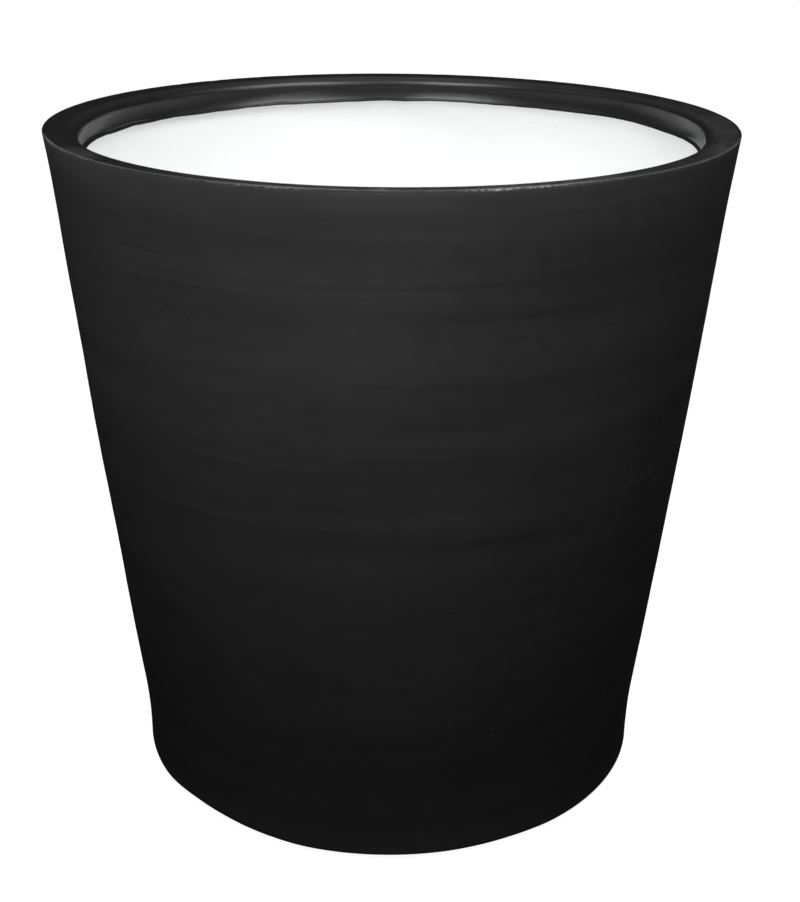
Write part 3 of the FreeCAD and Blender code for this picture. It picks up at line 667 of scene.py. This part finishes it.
# a few soft bands left by the polishing
pale = m.math("MAXIMUM", m.stroke((-0.177, -0.208, 0.366), (-0.117, -0.245, 0.353), 0.013), m.stroke((-0.129, -0.262, 0.551), (-0.096, -0.274, 0.537), 0.011))
pale = m.math("MAXIMUM", pale, m.stroke((-0.112, -0.259, 0.465), (-0.032, -0.279, 0.452), 0.008))
pale = m.math("MAXIMUM", pale, m.stroke((-0.068, -0.248, 0.206), (-0.007, -0.254, 0.183), 0.010))
deep = m.math("MAXIMUM", m.stroke((-0.199, -0.182, 0.332), (-0.122, -0.242, 0.345), 0.007), m.stroke((-0.085, -0.266, 0.448), (-0.032, -0.278, 0.443), 0.005))
uneven = m.math("MULTIPLY_ADD", m.math("MULTIPLY", pale, m.span(wisp, 0.3, 0.7, 0.4, 1.0)), 0.12, uneven)
uneven = m.math("MULTIPLY_ADD", m.math("MULTIPLY", deep, m.span(wisp, 0.3, 0.7, 0.4, 1.0)), -0.10, uneven)
# painted light and shade: lighter over the top of the wall, a little lighter again just below the edge, lighter round
# the foot as a painted reflection of the floor, and the edge's flat top painted darker as painted shade
painted_light_and_shade = m.math("ADD", m.span(z, 0.566, 0.603, 1.0, 1.42), m.span(z, 0.008, 0.034, 0.42, 0.0))
painted_light_and_shade = m.math("ADD", painted_light_and_shade, m.span(z, 0.5965, 0.6025, 0.0, 0.10))
painted_light_and_shade = m.math("MULTIPLY", painted_light_and_shade, m.span(z, 0.6030, 0.6042, 1.0, 0.16))
# painted shade: the edge is painted darker round the sides and the back, and made smoother there; the real rubbing at
# the front is the wear mark
painted_shade_edge_sides = m.math("MULTIPLY", m.span(y, -0.108, -0.070), m.span(z, 0.5995, 0.6020))
painted_light_and_shade = m.math("MULTIPLY", painted_light_and_shade, m.math("MULTIPLY_ADD", painted_shade_edge_sides, -0.55, 1.0))
# painted shade: the colour darkens steadily from the top of the wall towards the bottom
value = m.math("MULTIPLY", m.math("MULTIPLY", m.span(z, 0.02, 0.60, 0.0170, 0.0290), uneven), painted_light_and_shade)
base = m.grey(value)
# a few faint rub marks on the left side
broken = m.span(m.noise(m.p, 260.0, 3.0, 0.6), 0.40, 0.60, 0.15, 1.0)
rubbed = m.math("MAXIMUM", m.stroke((-0.1597, -0.2404, 0.5029), (-0.1523, -0.2447, 0.4999), 0.0009), m.stroke((-0.1523, -0.2447, 0.4999), (-0.1465, -0.2477, 0.4949), 0.0010))
fine = m.math("MAXIMUM", m.stroke((-0.2064, -0.2145, 0.5871), (-0.2003, -0.2201, 0.5876), 0.0007), m.stroke((-0.2003, -0.2201, 0.5876), (-0.1847, -0.2331, 0.5852), 0.0008))
fine = m.math("MAXIMUM", fine, m.stroke((0.0420, -0.2850, 0.5480), (0.0570, -0.2816, 0.5440), 0.0006))
light = m.math("MAXIMUM", m.math("MULTIPLY", rubbed, 0.16), m.math("MULTIPLY", fine, 0.30))
base = m.mix(m.math("MULTIPLY", light, broken), base, (0.10, 0.10, 0.098))
smear = m.math("MAXIMUM", m.stroke((-0.1721, -0.2317, 0.5038), (-0.1649, -0.2364, 0.4999), 0.0026), m.stroke((-0.2284, -0.1849, 0.5554), (-0.2210, -0.1928, 0.5505), 0.0012))
smear = m.math("MAXIMUM", smear, m.stroke((0.1100, -0.2646, 0.4850), (0.1170, -0.2614, 0.4810), 0.0045))
base = m.mix(m.math("MULTIPLY", smear, 0.30), base, (0.010, 0.010, 0.010))
att = m.n("ShaderNodeAttribute", attribute_name="wear")
torn = m.noise(m.p, 360.0, 3.0, 0.7)
worn = m.math("MULTIPLY", att.outputs["Fac"], m.span(torn, 0.38, 0.60, 0.15, 1.45), clamp=True)
att = m.n("ShaderNodeAttribute", attribute_name="scuff")
scuffed = m.math("MULTIPLY", att.outputs["Fac"], m.span(torn, 0.40, 0.58, 0.1, 1.1), clamp=True)
base = m.mix(m.math("MAXIMUM", worn, scuffed), base, (0.33, 0.33, 0.318))
dust = m.specks(70.0, 0.036, 0.70, (0.3, 0.1, 0.7))
base = m.mix(m.math("MULTIPLY", dust, 0.8), base, (0.17, 0.17, 0.165))
m.set("Base Color", base)
rough = m.math("ADD", m.span(streak, 0.25, 0.75, 0.34, 0.43), m.span(mottle, 0.3, 0.7, -0.03, 0.03))
rough = m.math("ADD", rough, m.span(z, 0.6030, 0.6042, 0.0, 0.52))
rough = m.math("MAXIMUM", m.math("MULTIPLY_ADD", painted_shade_edge_sides, -0.58, rough), 0.28)
m.set("Roughness", rough)
m.set("Specular IOR Level", 0.4)
m.bump([(streak, 0.00016, 0.35), (mottle, 0.00008, 0.35), (grain, 0.00002, 0.35), (dust, 0.00015, 0.5), (rubbed, -0.00006, 0.5)])
m.on(shell)

# the rim: the same gelcoat, rubbed to a higher gloss, with faint marks that run round it
m = Mat("gelcoat_rim")
cloud = m.noise(m.p, 14.0, 3.0, 0.5, 0.2)
sweep = m.noise(m.round_about(5.0, 330.0), 1.0, 4.0, 0.62)
mottle = m.noise(m.p, 120.0, 5.0, 0.6)
grain = m.noise(m.p, 700.0, 2.0, 0.6)
value = m.math("MULTIPLY_ADD", m.signed(cloud), 0.0014, 0.0120)
value = m.math("MULTIPLY_ADD", m.signed(sweep), 0.0008, value)
base = m.grey(value)
att = m.n("ShaderNodeAttribute", attribute_name="wear")
worn = m.math("MULTIPLY", att.outputs["Fac"], m.span(m.noise(m.p, 420.0, 3.0, 0.7), 0.38, 0.60, 0.15, 1.0), clamp=True)
base = m.mix(m.math("MULTIPLY", worn, 0.65), base, (0.17, 0.17, 0.165))
att = m.n("ShaderNodeAttribute", attribute_name="dust")
film = m.math("MULTIPLY", att.outputs["Fac"], m.span(m.noise(m.p, 95.0, 4.0, 0.65), 0.34, 0.64, 0.6, 1.35))
base = m.mix(film, base, (0.125, 0.125, 0.122))
dust = m.specks(62.0, 0.030, 0.55, (0.7, 0.2, 0.1))
base = m.mix(m.math("MULTIPLY", dust, 0.5), base, (0.13, 0.13, 0.125))
m.set("Base Color", base)
flat = m.n("ShaderNodeVectorMath", operation="LENGTH")
level = m.n("ShaderNodeCombineXYZ")
m.put(level.inputs[0], m.split()[0])
m.put(level.inputs[1], m.split()[1])
m.put(flat.inputs[0], level.outputs[0])
sheen = m.math("ADD", m.span(sweep, 0.25, 0.75, 0.27, 0.305), m.span(mottle, 0.3, 0.7, -0.006, 0.006))
m.set("Roughness", m.math("ADD", sheen, m.span(flat.outputs["Value"], 0.2770, 0.2810, 0.0, -0.045)))
m.set("Specular IOR Level", 0.24)
m.bump([(sweep, 0.00003, 0.05), (mottle, 0.00004, 0.07), (grain, 0.00002, 0.1), (dust, 0.00004, 0.2)])
m.on(rim)

# white liner: brushed coat over laminate, so a faint weave of strands and brush strokes shows
m = Mat("liner_white")
cloud = m.noise(m.p, 5.0, 4.0, 0.55, 0.2)
brush = m.noise(m.round_about(7.0, 130.0), 1.0, 4.0, 0.6)
strands = m.n("ShaderNodeTexVoronoi", feature="DISTANCE_TO_EDGE")
m.put(strands.inputs["Vector"], m.scaled(1.0, 1.0, 0.55, (0.2, 0.6, 0.3)))
strands.inputs["Scale"].default_value = 75.0
strand = m.span(strands.outputs["Distance"], 0.0, 0.16, 1.0, 0.0)
fine = m.noise(m.p, 300.0, 4.0, 0.6)
base = m.mix(m.span(cloud, 0.3, 0.7), (0.86, 0.872, 0.874), (0.895, 0.898, 0.895))
base = m.mix(m.span(brush, 0.52, 0.80, 0.0, 0.28), base, (0.84, 0.85, 0.855))
dirt = m.specks(90.0, 0.05, 0.20, (0.9, 0.3, 0.5))
base = m.mix(m.math("MULTIPLY", dirt, 0.35), base, (0.42, 0.40, 0.37))
m.set("Base Color", base)
m.set("Roughness", m.span(brush, 0.25, 0.75, 0.40, 0.56))
m.set("Specular IOR Level", 0.45)
m.bump([(strand, 0.00022, 0.30), (brush, 0.00022, 0.40), (fine, 0.00005, 0.35)])
m.on(liner)

# moulded black plastic: outlet and backnut
m = Mat("moulded_black")
spark = m.noise(m.p, 900.0, 3.0, 0.6)
cloud = m.noise(m.p, 60.0, 4.0, 0.55)
base = m.mix(m.span(cloud, 0.3, 0.7), (0.014, 0.014, 0.015), (0.027, 0.027, 0.028))
m.set("Base Color", base)
m.set("Roughness", m.span(cloud, 0.3, 0.7, 0.38, 0.52))
m.bump([(spark, 0.00003, 0.5), (cloud, 0.00006, 0.3)])
m.on(bush)
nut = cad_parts["drain_backnut"]
m.on(nut)

# natural nylon washer
m = Mat("nylon_natural")
cloud = m.noise(m.p, 80.0, 4.0, 0.55)
swirl = m.noise(m.round_about(30.0, 900.0), 1.0, 3.0, 0.6)
m.set("Base Color", m.mix(m.span(cloud, 0.3, 0.7), (0.66, 0.64, 0.57), (0.76, 0.745, 0.69)))
m.set("Roughness", m.span(swirl, 0.3, 0.7, 0.40, 0.55))
m.set("Subsurface Weight", 0.15)
m.set("Subsurface Radius", (0.0012, 0.001, 0.0008))
m.bump([(swirl, 0.00004, 0.4)])
m.on(slip)


def rubber(name, dark, light, rough):
    m = Mat(name)
    cloud = m.noise(m.p, 45.0, 4.0, 0.55)
    fine = m.noise(m.p, 800.0, 4.0, 0.65)
    bloom = m.span(m.noise(m.p, 18.0, 3.0, 0.6, 0.5), 0.5, 0.75, 0.0, 0.35)
    base = m.mix(m.span(cloud, 0.3, 0.7), dark, light)
    m.set("Base Color", m.mix(bloom, base, tuple(c * 2.1 for c in light)))
    m.set("Roughness", m.span(fine, 0.25, 0.75, rough - 0.07, rough + 0.08))
    m.set("Specular IOR Level", 0.4)
    m.bump([(fine, 0.00005, 0.5), (cloud, 0.00006, 0.3)])
    return m


rubber("rubber_pads", (0.020, 0.020, 0.020), (0.032, 0.032, 0.031), 0.74).on(*pads)
rubber("rubber_seal", (0.016, 0.016, 0.016), (0.026, 0.026, 0.026), 0.62).on(seal)
rubber("rubber_plug", (0.030, 0.030, 0.031), (0.046, 0.046, 0.047), 0.60).on(plug)

# ------------------------------------------------------------------ floor, light and camera
bm = bmesh.new()
bmesh.ops.create_grid(bm, x_segments=8, y_segments=8, size=30.0)
me = bpy.data.meshes.new("studio_floor")
bm.to_mesh(me)
bm.free()
floor = bpy.data.objects.new("studio_floor", me)
bpy.context.scene.collection.objects.link(floor)
m = Mat("floor_pale")
m.set("Base Color", m.mix(m.span(m.noise(m.p, 1.4, 2.0), 0.3, 0.7), (0.30, 0.30, 0.30), (0.31, 0.31, 0.31)))
m.set("Roughness", 0.9)
m.set("Specular IOR Level", 0.0)
m.set("Emission Color", (1.0, 1.0, 1.0, 1.0))
m.set("Emission Strength", 0.92)
m.on(floor)
# the floor is a light table: it shows white, and doesn't throw its own light back on the dark wall
floor.visible_glossy = False
floor.visible_diffuse = False

# surroundings: dim all round and below, brighter overhead; plain white behind the object
world = bpy.data.worlds.new("studio")
bpy.context.scene.world = world
world.use_nodes = True
t = world.node_tree
t.nodes.clear()
coord = t.nodes.new("ShaderNodeTexCoord")
split = t.nodes.new("ShaderNodeSeparateXYZ")
t.links.new(coord.outputs["Generated"], split.inputs[0])
rise = t.nodes.new("ShaderNodeMapRange")
rise.interpolation_type = "SMOOTHSTEP"
t.links.new(split.outputs[2], rise.inputs["Value"])
for key, val in (("From Min", 0.30), ("From Max", 0.95), ("To Min", 0.0), ("To Max", 0.20)):
    rise.inputs[key].default_value = val
low = t.nodes.new("ShaderNodeMapRange")
low.interpolation_type = "SMOOTHSTEP"
t.links.new(split.outputs[2], low.inputs["Value"])
for key, val in (("From Min", 0.17), ("From Max", 0.33), ("To Min", 0.006), ("To Max", 0.06)):
    low.inputs[key].default_value = val
sky = t.nodes.new("ShaderNodeMath")
sky.operation = "ADD"
t.links.new(rise.outputs[0], sky.inputs[0])
t.links.new(low.outputs[0], sky.inputs[1])
dim = t.nodes.new("ShaderNodeBackground")
dim.inputs["Color"].default_value = (1.0, 1.0, 1.0, 1.0)
t.links.new(sky.outputs[0], dim.inputs["Strength"])
white = t.nodes.new("ShaderNodeBackground")
white.inputs["Color"].default_value = (1.0, 1.0, 1.0, 1.0)
white.inputs["Strength"].default_value = 1.0
path = t.nodes.new("ShaderNodeLightPath")
pick = t.nodes.new("ShaderNodeMixShader")
t.links.new(path.outputs["Is Camera Ray"], pick.inputs[0])
t.links.new(dim.outputs[0], pick.inputs[1])
t.links.new(white.outputs[0], pick.inputs[2])
out = t.nodes.new("ShaderNodeOutputWorld")
t.links.new(pick.outputs[0], out.inputs[0])


def aim(ob, at):
    d = (Vector(at) - ob.location).normalized()
    ob.rotation_euler = d.to_track_quat("-Z", "Y").to_euler()


def softbox(name, at, to, width, height, watts):
    l = bpy.data.lights.new(name, "AREA")
    l.shape = "RECTANGLE"
    l.size, l.size_y, l.energy = width, height, watts
    ob = bpy.data.objects.new(name, l)
    ob.location = at
    bpy.context.scene.collection.objects.link(ob)
    aim(ob, to)
    ob.visible_camera = False
    return ob


sun = bpy.data.lights.new("overhead", "SUN")
sun.energy = 0.7
sun.angle = math.radians(60)
sun_ob = bpy.data.objects.new("overhead", sun)
sun_ob.location = (0, 0, 3)
bpy.context.scene.collection.objects.link(sun_ob)
# two softboxes above the front, left and right
lamps = [sun_ob]
lamps.append(softbox("softbox_left", (-0.48, -0.77, 1.60), (0, 0, 0.55), 0.62, 0.55, 5.8))
lamps.append(softbox("softbox_right", (0.70, -0.57, 1.60), (0, 0, 0.55), 0.92, 0.55, 5.9))
# the same two again for the gloss alone, weaker ones below them, and a weak one at each side
GLOSS = (
    ("gloss_left", (-0.48, -0.77, 1.61), 0.62, 0.55, 12.0),
    ("gloss_right", (0.70, -0.57, 1.61), 0.92, 0.55, 15.4),
    ("gloss_left_low", (-0.48, -0.77, 1.07), 0.62, 0.37, 2.8),
    ("gloss_right_low", (0.70, -0.57, 1.07), 0.92, 0.37, 3.9),
    ("gloss_side_left", (-1.15, 0.10, 1.30), 0.60, 0.50, 0.9),
    ("gloss_side_right", (1.15, 0.10, 1.30), 0.60, 0.50, 0.9),
)
for name, at, wide, high, watts in GLOSS:
    ob = softbox(name, at, (0, 0, 0.55), wide, high, watts)
    ob.visible_diffuse = False
    lamps.append(ob)
# a ring of low softboxes level with the rim, which light the wall from its top downwards
for k, watts in enumerate((1.45, 0.19, 0.13, 0.5, 1.2, 0.55, 0.34, 0.90)):
    a = math.radians(45 * k)
    ob = softbox("ring_%d" % k, (0.85 * math.sin(a), -0.85 * math.cos(a), 0.60), (0, 0, 0.60), 0.5, 0.22, watts)
    ob.visible_glossy = False
    lamps.append(ob)
# a weak one lower down, for the middle of the front
ob = softbox("front_low", (-0.06, -0.92, 0.36), (0, 0, 0.34), 0.3, 0.25, 0.5)
ob.visible_glossy = False
lamps.append(ob)
# a soft lamp in the pot for the inside
l = bpy.data.lights.new("mouth_fill", "POINT")
l.energy, l.shadow_soft_size = 1.42, 0.12
ob = bpy.data.objects.new("mouth_fill", l)
ob.location = (0.045, 0.060, 0.535)
ob.visible_camera = False
ob.visible_glossy = False
bpy.context.scene.collection.objects.link(ob)

# the inside is lit by that lamp and by two of its own over the mouth, so that the lip's shadow on it stays faint
inside = bpy.data.collections.new("inside")
inside.objects.link(liner)
inside.collection_objects[0].light_linking.link_state = "EXCLUDE"
rim_lamps = bpy.data.collections.new("not_wall")
for ob in (liner, shell):
    rim_lamps.objects.link(ob)
for entry in rim_lamps.collection_objects:
    entry.light_linking.link_state = "EXCLUDE"
for ob in lamps:
    ob.light_linking.receiver_collection = rim_lamps if ob.name.startswith("gloss_side") else inside
only = bpy.data.collections.new("inside_only")
only.objects.link(liner)
for name, x, y, z, watts in (("mouth_right", 0.90, -0.20, 1.03, 4.2), ("mouth_front", 0.0, -1.10, 1.08, 3.5)):
    ob = softbox(name, (x, y, z), (-0.2 * x, 0.2, 0.54), 0.45, 0.36, watts)
    ob.visible_glossy = False
    ob.light_linking.receiver_collection = only
# and the back of the wall has one of its own, so that it isn't left in the dark
back = bpy.data.collections.new("wall_only")
back.objects.link(shell)
ob = softbox("back_soft", (0.05, 1.05, 1.30), (0, 0, 0.45), 1.0, 0.5, 9.0)
ob.visible_glossy = False
ob.light_linking.receiver_collection = back

# the camera stands 1.34 m in front of the pot's axis and 0.82 m up
pitch, yaw, roll = math.radians(21.573), 0.00375, 0.008535
ahead = Vector((math.sin(yaw) * math.cos(pitch), math.cos(yaw) * math.cos(pitch), -math.sin(pitch)))
right = Vector((math.cos(yaw), -math.sin(yaw), 0.0))
above = right.cross(ahead)
r2 = right * math.cos(roll) + above * math.sin(roll)
u2 = above * math.cos(roll) - right * math.sin(roll)
cam = bpy.data.cameras.new("camera")
cam.lens = 1514.5 / 902.0 * 36.0
cam.sensor_width = 36.0
cam.clip_end = 200.0
cam_ob = bpy.data.objects.new("camera", cam)
cam_ob.matrix_world = Matrix(
    (
        (r2.x, u2.x, -ahead.x, 0.00417),
        (r2.y, u2.y, -ahead.y, -1.33987),
        (r2.z, u2.z, -ahead.z, 0.82282),
        (0, 0, 0, 1),
    )
)
bpy.context.scene.collection.objects.link(cam_ob)
bpy.context.scene.camera = cam_ob
bpy.context.scene.view_settings.view_transform = "Standard"
bpy.context.scene.view_settings.look = "None"
